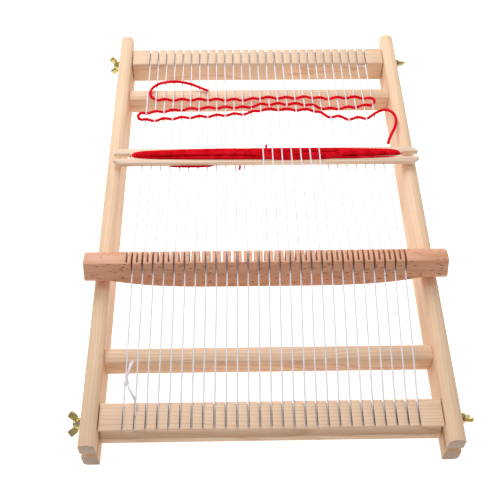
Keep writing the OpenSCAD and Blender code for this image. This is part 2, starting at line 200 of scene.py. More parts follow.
def timber(name, pale, mid, dark, end, turn, pith, ring_mm, fibre, fleck=None, rough=0.55):
    """Planed wood. turn brings the grain to the pattern's Z; pith is where the tree's middle lay, in mm."""
    material, tree, shader = start_material(name)
    place = add(tree, "ShaderNodeTexCoord")
    grain = add(tree, "ShaderNodeMapping", {"Vector": place.outputs["Object"],
        "Location": [c * MM for c in pith], "Rotation": [math.radians(a) for a in turn]})
    # growth rings wander slowly along the board
    drawn = add(tree, "ShaderNodeMapping", {"Vector": grain.outputs[0], "Scale": (1, 1, 0.14)})
    wander = add(tree, "ShaderNodeTexNoise", {"Vector": drawn.outputs[0], "Scale": 1 / (28 * MM),
        "Detail": 2.0, "Roughness": 0.5})
    flat = add(tree, "ShaderNodeVectorMath", {0: drawn.outputs[0], 1: (1, 1, 0)}, operation="MULTIPLY")
    reach = add(tree, "ShaderNodeVectorMath", {0: flat.outputs[0]}, operation="LENGTH")
    moved = add(tree, "ShaderNodeMath", {0: wander.outputs["Fac"], 1: 20 * MM, 2: reach.outputs["Value"]},
        operation="MULTIPLY_ADD")
    count = add(tree, "ShaderNodeMath", {0: moved.outputs[0], 1: 1 / (ring_mm * MM)}, operation="MULTIPLY")
    phase = add(tree, "ShaderNodeMath", {0: count.outputs[0]}, operation="FRACT")
    rings = add(tree, "ShaderNodeValToRGB", {"Fac": phase.outputs[0]})
    stops = rings.color_ramp.elements
    stops[0].position, stops[0].color = 0.0, paint(pale)
    stops[1].position, stops[1].color = 1.0, paint(pale)
    for at, colour in ((0.45, pale), (0.78, mid), (0.9, dark), (0.96, mid)):
        stops.new(at).color = paint(colour)
    # fibres and pores: hair-thin streaks a centimetre or two long
    streak_place = add(tree, "ShaderNodeMapping", {"Vector": grain.outputs[0],
        "Scale": (1 / (0.55 * MM), 1 / (0.55 * MM), 1 / (16 * MM))})
    streaks = add(tree, "ShaderNodeTexNoise", {"Vector": streak_place.outputs[0], "Scale": 1.0,
        "Detail": 3.0, "Roughness": 0.65})
    streak_tone = add(tree, "ShaderNodeMapRange", {"Value": streaks.outputs["Fac"], "From Min": 0.3,
        "From Max": 0.7, "To Min": 1 - fibre, "To Max": 1 + 0.4 * fibre})
    # broad bands of tone, as one board differs along its length
    board_place = add(tree, "ShaderNodeMapping", {"Vector": grain.outputs[0], "Scale": (1, 1, 0.18)})
    board = add(tree, "ShaderNodeTexNoise", {"Vector": board_place.outputs[0], "Scale": 1 / (16 * MM),
        "Detail": 1.0})
    board_tone = add(tree, "ShaderNodeMapRange", {"Value": board.outputs["Fac"], "From Min": 0.3,
        "From Max": 0.7, "To Min": 0.95, "To Max": 1.05})
    tone = add(tree, "ShaderNodeMath", {0: streak_tone.outputs[0], 1: board_tone.outputs[0]},
        operation="MULTIPLY")
    toned = add(tree, "ShaderNodeVectorMath", {0: rings.outputs[0], "Scale": tone.outputs[0]},
        operation="SCALE")
    colour = toned.outputs[0]
    if fleck:
        # medullary flecks: short reddish dashes, two or three millimetres long
        dash_place = add(tree, "ShaderNodeMapping", {"Vector": grain.outputs[0],
            "Scale": (1 / (1.1 * MM), 1 / (1.1 * MM), 1 / (4.6 * MM))})
        dashes = add(tree, "ShaderNodeTexVoronoi", {"Vector": dash_place.outputs[0], "Scale": 1.0,
            "Randomness": 1.0})
        picked = add(tree, "ShaderNodeSeparateColor", {"Color": dashes.outputs["Color"]})
        size = add(tree, "ShaderNodeMapRange", {"Value": picked.outputs[0], "From Min": 0.15,
            "From Max": 1.0, "To Min": 0.0, "To Max": 0.46})
        inside = add(tree, "ShaderNodeMath", {0: size.outputs[0], 1: dashes.outputs["Distance"]},
            operation="SUBTRACT")
        dash = add(tree, "ShaderNodeMapRange", {"Value": inside.outputs[0], "From Min": 0.0,
            "From Max": 0.1, "To Min": 0.0, "To Max": 0.8})
        flecked = add(tree, "ShaderNodeMix", {"Factor": dash.outputs[0], 6: colour, 7: paint(fleck)},
            data_type="RGBA")
        colour = flecked.outputs[2]
    # cut ends drink light, so they are darker and greyer
    faces = add(tree, "ShaderNodeMapping", {"Vector": place.outputs["Normal"],
        "Rotation": [math.radians(a) for a in turn]}, vector_type="NORMAL")
    split = add(tree, "ShaderNodeSeparateXYZ", {0: faces.outputs[0]})
    across = add(tree, "ShaderNodeMath", {0: split.outputs[2]}, operation="ABSOLUTE")
    is_end = add(tree, "ShaderNodeMapRange", {"Value": across.outputs[0], "From Min": 0.6,
        "From Max": 0.95, "To Min": 0.0, "To Max": 0.75})
    cut = add(tree, "ShaderNodeMix", {"Factor": is_end.outputs[0], 6: colour, 7: paint(end)},
        data_type="RGBA")
    tree.links.new(cut.outputs[2], shader.inputs["Base Color"])
    gloss = add(tree, "ShaderNodeMapRange", {"Value": streaks.outputs["Fac"], "From Min": 0.3,
        "From Max": 0.7, "To Min": rough + 0.1, "To Max": rough - 0.05})
    tree.links.new(gloss.outputs[0], shader.inputs["Roughness"])
    relief = add(tree, "ShaderNodeBump", {"Height": streaks.outputs["Fac"], "Strength": 0.35,
        "Distance": 0.06 * MM})
    tree.links.new(relief.outputs[0], shader.inputs["Normal"])
    shader.inputs["IOR"].default_value = 1.5
    return material


# Planed white pine, unfinished: straight faint rings about 2 mm apart and a dry, silky face.
pine_rails = timber("white_pine_rails", "#EFCDAB", "#EDC9A6", "#E8C19C", "#A08878", (90, 0, 0),
    (-60, 0, 34), 3.1, 0.07)
# The cross pieces are the same pine sawn from another board, a little greyer and closer in the ring.
pine_cross = timber("white_pine_cross_pieces", "#ECCBAC", "#E8C3A2", "#DAB08E", "#9C8676", (0, 90, 0),
    (0, 22, 30), 2.9, 0.1)
# Steamed beech: a denser, pinkish-brown wood whose short dark dashes give it away.
beech = timber("steamed_beech", "#E0A583", "#DC9F7B", "#D69871", "#A97755", (0, 90, 0),
    (0, 60, 46), 4.4, 0.1, fleck="#8A4A30", rough=0.42)
# Basswood: nearly white and without figure, as thin shuttle sticks are.
basswood = timber("basswood_stick", "#EFD3B9", "#EBCBAE", "#E2BD9C", "#BFA184", (0, 90, 0),
    (0, 40, 60), 3.5, 0.05)


# ---- metal ------------------------------------------------------------------

def plated():
    """Zinc-plated steel with a yellow passivation: a satin metal whose film turns gold, green and rose."""
    material, tree, shader = start_material("yellow_zinc_plated_steel")
    place = add(tree, "ShaderNodeTexCoord")
    film = add(tree, "ShaderNodeTexNoise", {"Vector": place.outputs["Object"], "Scale": 1 / (2.2 * MM),
        "Detail": 2.0, "Roughness": 0.55})
    hues = add(tree, "ShaderNodeValToRGB", {"Fac": film.outputs["Fac"]})
    stops = hues.color_ramp.elements
    stops[0].position, stops[0].color = 0.3, paint("#8A9A74")
    stops[1].position, stops[1].color = 0.72, paint("#DDB4AE")
    for at, colour in ((0.4, "#C4C48C"), (0.5, "#E0C570"), (0.6, "#A6AC92")):
        stops.new(at).color = paint(colour)
    tree.links.new(hues.outputs[0], shader.inputs["Base Color"])
    grit = add(tree, "ShaderNodeTexNoise", {"Vector": place.outputs["Object"], "Scale": 1 / (0.4 * MM),
        "Detail": 3.0})
    satin = add(tree, "ShaderNodeMapRange", {"Value": grit.outputs["Fac"], "To Min": 0.16, "To Max": 0.34})
    tree.links.new(satin.outputs[0], shader.inputs["Roughness"])
    relief = add(tree, "ShaderNodeBump", {"Height": grit.outputs["Fac"], "Strength": 0.25,
        "Distance": 0.04 * MM})
    tree.links.new(relief.outputs[0], shader.inputs["Normal"])
    shader.inputs["Metallic"].default_value = 1.0
    return material


zinc = plated()


# ---- thread and yarn --------------------------------------------------------

def spun(name, low, mid, high, rough, gloss, patch_mm, fibre_mm):
    """Spun fibre. Its plies are in the mesh, and the colour shifts from fibre to fibre."""
    material, tree, shader = start_material(name)
    place = add(tree, "ShaderNodeTexCoord")
    patches = add(tree, "ShaderNodeTexNoise", {"Vector": place.outputs["Object"],
        "Scale": 1 / (patch_mm * MM), "Detail": 2.0})
    fibres = add(tree, "ShaderNodeTexNoise", {"Vector": place.outputs["Object"],
        "Scale": 1 / (fibre_mm * MM), "Detail": 3.0, "Roughness": 0.7})
    both = add(tree, "ShaderNodeMath", {0: patches.outputs["Fac"], 1: fibres.outputs["Fac"]})
    level = add(tree, "ShaderNodeMapRange", {"Value": both.outputs[0], "From Min": 0.7, "From Max": 1.3})
    tones = add(tree, "ShaderNodeValToRGB", {"Fac": level.outputs[0]})
    stops = tones.color_ramp.elements
    stops[0].position, stops[0].color = 0.0, paint(low)
    stops[1].position, stops[1].color = 1.0, paint(high)
    stops.new(0.5).color = paint(mid)
    tree.links.new(tones.outputs[0], shader.inputs["Base Color"])
    relief = add(tree, "ShaderNodeBump", {"Height": fibres.outputs["Fac"], "Strength": 0.6,
        "Distance": 0.12 * MM})
    tree.links.new(relief.outputs[0], shader.inputs["Normal"])
    shader.inputs["Roughness"].default_value = rough
    shader.inputs["Specular IOR Level"].default_value = gloss
    return material


# Mercerised cotton warp: two plies, nearly white with a faint lilac in its shade.
cotton = spun("cotton_warp_thread", "#EEEAF4", "#F7F4FB", "#FFFEFF", 0.7, 0.1, 9, 0.5)
# Acrylic knitting yarn: soft plies, a strong red that goes deep between the strands.
red_wool = spun("red_acrylic_yarn", "#DA0A20", "#EC1428", "#F52C3A", 0.85, 0.0, 7, 0.6)
# The same yarn where it is wound on the stick, painted a shade darker all over as painted shade for the shade
# between its packed strands.
red_yarn_painted_shade = spun("red_acrylic_yarn_painted_shade", "#AC0814", "#E01222", "#F42434", 0.85, 0.0, 6, 0.6)


def ply_tree():
    """Geometry Nodes: each line of a curve becomes a thread of twisted plies."""
    tree = bpy.data.node_groups.new("plied_thread", "GeometryNodeTree")
    face = tree.interface
    face.new_socket("Lines", in_out="INPUT", socket_type="NodeSocketGeometry")
    for title, value in (("Diameter", WARP_D * MM), ("Plies", 2.0), ("Ply depth", 0.3),
                         ("Twist length", 4 * MM), ("Step", 0.7 * MM)):
        face.new_socket(title, in_out="INPUT", socket_type="NodeSocketFloat").default_value = value
    face.new_socket("Sides", in_out="INPUT", socket_type="NodeSocketInt").default_value = 8
    face.new_socket("Fibre", in_out="INPUT", socket_type="NodeSocketMaterial")
    face.new_socket("Thread", in_out="OUTPUT", socket_type="NodeSocketGeometry")
    given = add(tree, "NodeGroupInput").outputs
    # the section swells once for each ply
    radius = add(tree, "ShaderNodeMath", {0: given["Diameter"], 1: 0.5}, operation="MULTIPLY")
    circle = add(tree, "GeometryNodeCurvePrimitiveCircle", {"Resolution": given["Sides"],
        "Radius": radius.outputs[0]})
    at = add(tree, "GeometryNodeInputPosition")
    parts = add(tree, "ShaderNodeSeparateXYZ", {0: at.outputs[0]})
    angle = add(tree, "ShaderNodeMath", {0: parts.outputs[1], 1: parts.outputs[0]}, operation="ARCTAN2")
    turns = add(tree, "ShaderNodeMath", {0: angle.outputs[0], 1: given["Plies"]}, operation="MULTIPLY")
    wave = add(tree, "ShaderNodeMath", {0: turns.outputs[0]}, operation="COSINE")
    half = add(tree, "ShaderNodeMath", {0: given["Ply depth"], 1: 0.5}, operation="MULTIPLY")
    rest = add(tree, "ShaderNodeMath", {0: 1.0, 1: half.outputs[0]}, operation="SUBTRACT")
    swell = add(tree, "ShaderNodeMath", {0: wave.outputs[0], 1: half.outputs[0], 2: rest.outputs[0]},
        operation="MULTIPLY_ADD")
    scaled = add(tree, "ShaderNodeVectorMath", {0: at.outputs[0], "Scale": swell.outputs[0]},
        operation="SCALE")
    section = add(tree, "GeometryNodeSetPosition", {"Geometry": circle.outputs[0],
        "Position": scaled.outputs[0]})
    # and turns as the thread goes along
    lines = add(tree, "GeometryNodeResampleCurve", {"Curve": given["Lines"], "Length": given["Step"]},
        mode="LENGTH")
    along = add(tree, "GeometryNodeSplineParameter")
    share = add(tree, "ShaderNodeMath", {0: along.outputs["Length"], 1: given["Twist length"]},
        operation="DIVIDE")
    twist = add(tree, "ShaderNodeMath", {0: share.outputs[0], 1: 2 * math.pi}, operation="MULTIPLY")
    tilted = add(tree, "GeometryNodeSetCurveTilt", {"Curve": lines.outputs[0], "Tilt": twist.outputs[0]})
    skin = add(tree, "GeometryNodeCurveToMesh", {"Curve": tilted.outputs[0],
        "Profile Curve": section.outputs[0], "Fill Caps": True})
    soft = add(tree, "GeometryNodeSetShadeSmooth", {"Geometry": skin.outputs[0]})
    real = add(tree, "GeometryNodeRealizeInstances", {"Geometry": soft.outputs[0]})
    done = add(tree, "GeometryNodeSetMaterial", {"Geometry": real.outputs[0], "Material": given["Fibre"]})
    add(tree, "NodeGroupOutput", {0: done.outputs[0]})
    return tree


plied = ply_tree()


def threads(name, lines, material, **sizes):
    """Plied threads along lines of points in millimetres, as one mesh."""
    curve = bpy.data.curves.new(name, "CURVE")
    curve.dimensions = "3D"
    for line in lines:
        spline = curve.splines.new("POLY")
        spline.points.add(len(line) - 1)
        spline.points.foreach_set("co", [c for p in line for c in (*[v * MM for v in p], 1)])
    obj = show(bpy.data.objects.new(name, curve))
    maker = obj.modifiers.new("plies", "NODES")
    maker.node_group = plied
    values = {"Fibre": material, **sizes}
    for item in plied.interface.items_tree:
        if item.in_out == "INPUT" and item.name in values:
            maker[item.identifier] = values[item.name]
    return bake(obj)


def smooth_line(points, step=1.0):
    """A smooth line through points, about step millimetres between its own points."""
    ends = [2 * points[0] - points[1], *points, 2 * points[-1] - points[-2]]
    line = []
    for a, b, c, d in zip(ends, ends[1:], ends[2:], ends[3:]):
        pieces = max(2, round((c - b).length / step))
        for k in range(pieces):
            t = k / pieces
            line.append(0.5 * (2 * b + (c - a) * t + (2 * a - 5 * b + 4 * c - d) * t * t
                + (3 * b - a - 3 * c + d) * t ** 3))
    return line + [points[-1]]


# ---- where the warp runs ----------------------------------------------------

def thread_x(i):
    return (i - (THREADS + 1) / 2) * PITCH


def back_level(i, y):
    """Where thread i runs at y, between the heddle bar and the back beam."""
    bend_y = STICK_Y + (WOUND_SHIFT if i in RAISED else 0)
    bend_z = OVER_Z if i in RAISED else UNDER_Z
    start_y = axis_y + SLOT_HALF
    if y <= start_y:
        return thread_x(i) + SLOT_SHIFT, SLOT_Z
    if y <= bend_y:
        t = (y - start_y) / (bend_y - start_y)
        return thread_x(i) + mix(SLOT_SHIFT, SLOT_SHIFT / 2, t), mix(SLOT_Z, bend_z, t)
    if y <= KERF_IN.y:
        t = (y - bend_y) / (KERF_IN.y - bend_y)
        return thread_x(i) + mix(SLOT_SHIFT / 2, 0, t), mix(bend_z, KERF_IN.z, t)
    return thread_x(i), mix(KERF_IN.z, LOOP_Z, (y - KERF_IN.y) / (LOOP_Y - KERF_IN.y))


def front_level(i, y):
    """Where thread i runs at y, between the front beam and the heddle bar."""
    mouth_y = axis_y - SLOT_HALF
    t = min(1, (y + LOOP_Y) / (mouth_y + LOOP_Y))
    return thread_x(i) + mix(0, SLOT_SHIFT, t), mix(LOOP_Z, SLOT_Z, t)


# ---- weft -------------------------------------------------------------------

# the weft's way, in millimetres, from its tail to the shuttle
weft_route = [
    (-45, 131, 27), (-52, 135.5, 26.5), (-60, 140, 26.5), (-70, 143, 26.5),
    (-79, 143, 26.5), (-87, 141, 26.5), (-92.5, 136.5, 26.5), (-94.8, 131.5, 26.5),
    (-94.9, 127, 26.5), (-93, 123, 26.8), (-88.5, 120.9, 27), (-80, 120.5, 27), (-52, 120.5, 27),
    (-25, 120, 27), (-8, 119.5, 27.5), (3, 117.5, 30.5), (12, 117, 31.3), (22, 116.8, 31.5),
    (32, 116.8, 31.3), (42, 117.8, 30), (52, 120, 27.5), (67, 121.5, 27), (82, 122, 27),
    (90, 121.4, 27.5), (95.2, 120.6, 27.5), (98.5, 119, 27.5), (99.8, 115.9, 27.5), (98.4, 112.8, 27.5),
    (95, 111.4, 27.5), (90, 110.8, 27.5), (82, 109.5, 27.5), (70, 107.8, 27.5), (53, 107, 28),
    (43, 106.5, 31.5), (32, 107.5, 32.7),
    (22, 107.8, 33), (12, 107.8, 32.7), (3, 107.8, 31.5), (-8, 109.5, 28.5), (-25, 110, 27.5),
    (-51, 109, 27.5), (-80, 105.8, 27.5), (-94, 103.9, 27.5), (-99.4, 103.8, 27.5),
    (-102.6, 102.4, 27.5), (-103.9, 99.2, 27.6), (-102.6, 96, 27.8), (-99.4, 94.7, 28),
    (-90, 94.2, 28), (-81, 95.5, 28), (-66, 97, 28), (-51, 98.2, 28), (-36, 99.5, 28), (-21, 101, 28),
    (-8, 101.8, 29),
    (2, 100.5, 32.8), (12, 100, 34.2), (23, 99.8, 34.3), (34, 99, 34), (43, 99.5, 31.5),
    (51, 100, 28.7), (59, 97, 28), (66, 97, 28), (75, 94, 28), (84, 95, 28), (91, 95, 28.5),
    (96, 97.5, 29), (100.5, 99.8, 30), (105.5, 100.7, 31.5), (110, 98.5, 32.7), (113, 94.5, 33),
    (114.2, 89, 33.2), (113.6, 83, 33.4), (111.5, 76.5, 33.6), (109, 71, 34.5),
    (106.5, 65, 36), (104, 58.5, 37.8), (102.8, 54, 39.3)]
WEAVE = 0.95  # how far the weft swings above and below the warp
CRIMP = 0.85  # how far the warp gives way to it
ROWS = ((1, -88, 95), (-1, -98, 95), (1, -98, 94))  # over or under the odd threads, from left to right
FADE = 5  # the weave fades out this far past a row's ends
TAIL_Y = 124  # the first row's tail lies loose behind this
SOFTEN = (-0.7, -0.35, 0, 0.35, 0.7)  # in threads: how far the weft spreads a step in the warp
FULLNESS = 1.14  # the grooves between the plies take this much from a strand's width, and it is given back

route = smooth_line([Vector(p) for p in weft_route], 0.8)
turn_1 = next(k for k, p in enumerate(route) if p.x > 99.6)
turn_2 = next(k for k, p in enumerate(route) if k > turn_1 and p.x < -103.8)
loop_start = next(k for k, p in enumerate(route) if k > turn_2 and p.x > 99)


def level_between(i, y):
    """The warp's height at y, where i may fall between two threads."""
    low = math.floor(i)
    t = i - low
    a, b = (back_level(max(1, min(THREADS, n)), y)[1] for n in (low, low + 1))
    return mix(a, b, t * t * (3 - 2 * t))


def woven(route):
    """The route with the weft over one thread and under the next, and where each row crosses the warp."""
    line, crossings = [], []
    for k, p in enumerate(route):
        row = 0 if k < turn_1 else 1 if k < turn_2 else 2
        sign, left, right = ROWS[row]
        if k >= loop_start or (row == 0 and p.y > TAIL_Y):
            line.append(p.copy())
            continue
        # full weave inside the warp, fading out past its edge threads
        edge = min(p.x - left, right - p.x) / FADE
        fade = max(0, min(1, edge + 1))
        ease = fade * fade * (3 - 2 * fade)
        i = p.x / PITCH + (THREADS + 1) / 2
        level = sum(level_between(i + off, p.y) for off in SOFTEN) / len(SOFTEN)
        shift = back_level(14, p.y)[0]
        swing = sign * WEAVE * math.cos(math.pi * ((p.x - shift) / PITCH + 13))
        line.append(Vector((p.x, p.y, mix(p.z, level + swing, ease))))
        crossings.append((row, p.x, p.y))
    return line, crossings


weft_line, crossings = woven(route)
# the cord is told from its exit at the shuttle to its bare tail
weft_line = smooth_line(weft_line[::-2] + ([weft_line[0]] if len(weft_line) % 2 == 0 else []), 0.8)
weft = threads("weft_yarn_strand", [weft_line], red_wool, Diameter=FULLNESS * WEFT_D * MM, Plies=3.0,
    Sides=12, **{"Ply depth": 0.26, "Twist length": 8.5 * MM, "Step": 0.7 * MM})
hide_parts("weft_yarn")
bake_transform(weft)


# ---- warp -------------------------------------------------------------------

CROSSING_NEAR = 0.8  # a point of the weft this near to a thread is its crossing
CRIMP_REACH = 3.2  # a thread's bend dies out over this distance


def crimp(i, x, y):
    """How far thread i is pushed up or down where the weft crosses it."""
    push = 0
    for row, (sign, _, _) in enumerate(ROWS):
        near = [c for c in crossings if c[0] == row and abs(c[1] - x) < CROSSING_NEAR]
        if near:
            gap = y - near[len(near) // 2][2]
            over = sign * math.cos(math.pi * (i - 1))
            push -= over * CRIMP * math.exp(-(gap / CRIMP_REACH) ** 2)
    return push


def warp_line(i, start, end, step, level):
    """Thread i from start to end, with its bends round the weft."""
    count = max(2, round((end - start) / step))
    line = []
    for k in range(count + 1):
        y = mix(start, end, k / count)
        x, z = level(i, y)
        line.append(Vector((x, y, z + (crimp(i, x, y) if WOVEN_FROM < y < WOVEN_TO else 0))))
    return line


# Runs end where the next piece takes over: one piece for each body, or pair of bodies, that it lies along;
# only the two long spans are attached, to the frame.
FRONT_HOLD, BACK_HOLD = -150.0, 150.0
SLOT_END = axis_y + 9.5
BEHIND_END = axis_y + 40


def span(start, end, step, level):
    """All the threads from start to end."""
    return [warp_line(i, start, end, step, level) for i in range(1, THREADS + 1)]


pieces_of_warp = {
    "warp_front_span": span(FRONT_HOLD, axis_y - SLOT_HALF, 6, front_level),
    "warp_in_heddle": span(axis_y - SLOT_HALF, SLOT_END, 1.2, back_level),
    "warp_behind_heddle": span(SLOT_END, BEHIND_END, 1.5, back_level),
    "warp_back_span": span(BEHIND_END, BACK_HOLD, 1.5, back_level),
}


# A turn round a tooth: where its points lie across, and how far its crown stands out from its legs.
TURN_AT = (0.0, 0.06, 0.14, 0.25, 0.5, 0.75, 0.86, 0.94, 1.0)
TURN_DEEP = 1.4
# At the front the thread goes to the bottom of its kerf, and round the tooth under the beam's lip.
FRONT_IN, FRONT_DOWN = 1.5, 0.75
EDGE_Y, DIVE_Y, EDGE_DIP = -168, -176, 0.3


def tooth_turn(xa, xb, side, out=LOOP_Y, down=LOOP_Z):
    """The thread round a tooth, from xa to xb, with its crown at out."""
    return [Vector((mix(xa, xb, t), side * (out - TURN_DEEP + TURN_DEEP * math.sin(math.pi * t) ** 0.5),
        down)) for t in TURN_AT]


def end_lines(level, hold, side, pairs):
    """The threads from hold to the beam, joined round its teeth. side is -1 at the front, 1 at the back."""
    lines = []
    for a, b in pairs:
        ax, az = level(a, hold)
        bx, bz = level(b, hold)
        out, down = (LOOP_Y, LOOP_Z) if side > 0 else (LOOP_Y - FRONT_IN, LOOP_Z - FRONT_DOWN)
        lead = side * (out - 3)
        xa, xb = thread_x(a), thread_x(b)
        line = [Vector((mix(ax, xa, t), mix(hold, lead, t), mix(az, down, t))) for t in (0, 0.3, 0.6, 1)]
        back = [Vector((mix(xb, bx, t), mix(lead, hold, t), mix(down, bz, t))) for t in (0, 0.4, 0.7, 1)]
        for i, p in ((a, line[1]), (a, line[2]), (b, back[1]), (b, back[2])):
            p.z = level(i, p.y)[1] - (EDGE_DIP if p.y < EDGE_Y else 0)
        if side < 0:
            dive_z = mix(line[2].z, down, 0.75)
            line.insert(3, Vector((xa, DIVE_Y, dive_z)))
            back.insert(1, Vector((xb, DIVE_Y, dive_z)))
        lines.append(line + tooth_turn(xa, xb, side, out, down) + back)
    return lines


front_pairs = [(i, i + 1) for i in range(2, THREADS, 2)]
back_pairs = [(i, i + 1) for i in range(1, THREADS - 1, 2)]
front_ends = end_lines(front_level, FRONT_HOLD, -1, front_pairs)
back_ends = end_lines(back_level, BACK_HOLD, 1, back_pairs)

# the first end goes round its tooth, comes back through the second kerf and is knotted to itself
knot_x, knot_z = front_level(1, -155.0)
knot = Vector((knot_x + 0.6, -155, knot_z + 0.5))
first = [Vector((thread_x(1), y, front_level(1, y)[1] - dip))
    for y, dip in ((FRONT_HOLD, 0), (-160, 0), (-168, 0.2), (-176, 1.3), (-184, 0.5))]
first[0].x = front_level(1, FRONT_HOLD)[0]
second = [Vector((thread_x(2), y, front_level(2, y)[1] + rise))
    for y, rise in ((-183, -0.5), (-177, -1.2), (-169, 0.9))]
tie = second + [Vector((thread_x(2) - 2, -164, knot_z + 0.6)), knot]
front_ends.append(first + tooth_turn(thread_x(1), thread_x(2), -1) + tie)
front_ends.append([p + Vector((0.5, 0, 0.9)) for p in tie[1:-1]] + [knot])

# the last end goes round its tooth too, and crosses the beam's inner face to its knot
x26, x27 = thread_x(26), thread_x(27)
last = [Vector((back_level(27, y)[0], y, back_level(27, y)[1])) for y in (BACK_HOLD, 158, 167, 184)]
inner = KERF_IN.y - WARP_D / 2 - 0.1
home = [Vector((x26, 182, LOOP_Z - 1.2)), Vector((x26, 169, LOOP_Z - 1.3)),
    Vector((x26 + 0.9, inner, LOOP_Z - 1.0)), Vector((x26 + 3.7, inner, LOOP_Z - 0.6)),
    Vector((x27 - 0.4, inner - 0.3, LOOP_Z))]
back_ends.append(last + tooth_turn(x27, x26, 1) + home)


def knot_line(middle, size):
    """An overhand knot pulled tight: a trefoil of that outer radius."""
    k = size / 3
    turns = [t / 40 * 2 * math.pi for t in range(41)]
    return [middle + k * Vector((math.sin(t) + 2 * math.sin(2 * t), math.cos(t) - 2 * math.cos(2 * t),
        -1.2 * math.sin(3 * t))) for t in turns]


front_ends.append(knot_line(knot, 1.5))
back_ends.append(knot_line(Vector((x27 - 0.2, inner - 0.6, LOOP_Z)), 1.2))
tail = [knot, knot + Vector((0.6, 3, 1.4)), knot + Vector((1.4, 8, 2.6)), knot + Vector((3.2, 15, 3.4))]
frayed = [[tail[0], tail[1], tail[2] + Vector((dx, 0, dz)), tail[3] + Vector((3 * dx, dy, dz))]
    for dx, dy, dz in ((0, 0, 0), (0.35, -0.8, 0.3), (-0.3, -1.5, -0.2))]

cotton_sizes = {"Diameter": 1.3 * MM, "Ply depth": 0.22, "Twist length": 5.2 * MM, "Step": 0.75 * MM}
warp_pieces = {name: threads(name, lines, cotton, **cotton_sizes) for name, lines in pieces_of_warp.items()}
warp_pieces["warp_front_ends"] = threads("warp_front_ends", [smooth_line(l, 1.0) for l in front_ends],
    cotton, **cotton_sizes)
warp_pieces["warp_back_ends"] = threads("warp_back_ends", [smooth_line(l, 1.0) for l in back_ends],
    cotton, **cotton_sizes)
tail_piece = threads("warp_knot_tail", [smooth_line(l, 1.0) for l in frayed], cotton, **cotton_sizes)
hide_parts("warp_front_run")
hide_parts("warp_back_run")
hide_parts("front_warp_loops", "front_warp_tie")
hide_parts("back_warp_loops", "back_warp_tie")
for name in ("warp_front_span", "warp_back_span"):
    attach(warp_pieces[name], "frame")
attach(tail_piece, "frame")
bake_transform(warp_pieces["warp_in_heddle"])
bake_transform(warp_pieces["warp_behind_heddle"])
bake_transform(warp_pieces["warp_front_ends"])
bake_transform(warp_pieces["warp_back_ends"])


# ---- yarn wound on the shuttle ----------------------------------------------

wound_low, wound_high = box_mm("shuttle_yarn")
mid_x = (wound_low.x + wound_high.x) / 2
mid_z = (stick_low.z + stick_high.z) / 2
half_run = (wound_high.x - wound_low.x) / 2
STRAND = 2.1  # a strand of the yarn, pressed flat by its neighbours
HALF_WIDTH, TAPER, BLUNT = 7.6, 0.3, 30  # the winding's half width, its narrowing, and how blunt its ends are
CORE_IN = 1.6  # the core lies this far inside the winding


def wound_point(t, angle, inset):
    """A point on the winding: t from -1 to 1 along it, angle round it, inset in from its outside."""
    swell = (1 - TAPER * abs(t) ** 1.6) * math.sqrt(max(0, 1 - abs(t * 0.9985) ** BLUNT))
    rise = (wound_high.z - mid_z) if math.sin(angle) > 0 else (mid_z - wound_low.z)
    return Vector((mid_x + half_run * t,
        STICK_Y + WOUND_SHIFT * swell + (HALF_WIDTH * swell - inset) * math.cos(angle),
        mid_z + (rise * swell - inset) * math.sin(angle)))


def along(count):
    """Places along the winding from end to end, closer together near its ends."""
    return [math.sin(n / count * math.pi / 2) for n in range(-count, count + 1)]


def crossing(v):
    """From 0 to 1 as v goes past 0: how a strand changes sides."""
    return 1 / (1 + math.exp(-16 * v))


dice = random.Random(7)
strands = []
for k in range(17):
    angle = 2 * math.pi * k / 17
    bow, lean, phase = dice.uniform(0.1, 0.22), dice.uniform(-0.14, 0.14), dice.uniform(0, 6.28)
    inset = STRAND / 2 + dice.uniform(0, 0.25)
    strands.append([wound_point(t, angle + lean * t + bow * math.sin(2.4 * t + phase),
        inset + 0.35 * math.cos(3.1 * t + 2 * phase)) for t in along(60)])
# the last strands cross to the weaver's side where the warp goes over them, and back
for k in range(5):
    away, near = 0.85 + 0.24 * k, 2.0 + 0.2 * k
    strand = []
    for t in along(59)[1:-1]:
        crossed = crossing(t + 0.1 - 0.02 * k) - crossing(t - 0.6 + 0.02 * k)
        strand.append(wound_point(t, mix(away, near, crossed), STRAND / 2 - 0.3))
    strands.append(strand)
# one strand has slipped down at the front, under the stick
strands.append([Vector(p) for p in ((-80, 39.2, 33.5), (-72, 36.2, 33.7), (-57, 35.4, 33.8),
    (-42, 36.1, 33.7), (-34, 39.2, 33.5))])
# the end that was tucked in first, and the tuft of a join
strands.append([Vector(p) for p in ((-17, 46, 34), (-17.6, 41, 31.5), (-18, 37.8, 30),
    (-18.3, 35.6, 28.9))])
strands.append([Vector(p) for p in ((3, 50.5, 37), (3.4, 53.5, 36.6), (3.9, 56.5, 36))])
# the wound strands take the darker copy of the yarn, whose deeper red is painted shade
winding = threads("wound_yarn_strands", [smooth_line(s, 2.0) for s in strands], red_yarn_painted_shade,
    Diameter=STRAND * MM, Plies=3.0, Sides=9,
    **{"Ply depth": 0.24, "Twist length": 8 * MM, "Step": 1.0 * MM})
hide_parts("shuttle_yarn")
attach(winding, "shuttle")

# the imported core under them, so that no light passes between the strands
ring_count, sides = 40, 16
core_points = [wound_point(math.sin(mix(-1.4, 1.4, r / ring_count)), 2 * math.pi * s / sides, CORE_IN)
    for r in range(ring_count + 1) for s in range(sides)]
# the core takes the same darker copy of the yarn, with its painted shade
core = mesh_piece("wound_yarn_core", core_points, ring_faces(ring_count, sides), red_yarn_painted_shade)
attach(core, "shuttle")


# ---- wooden pieces ----------------------------------------------------------

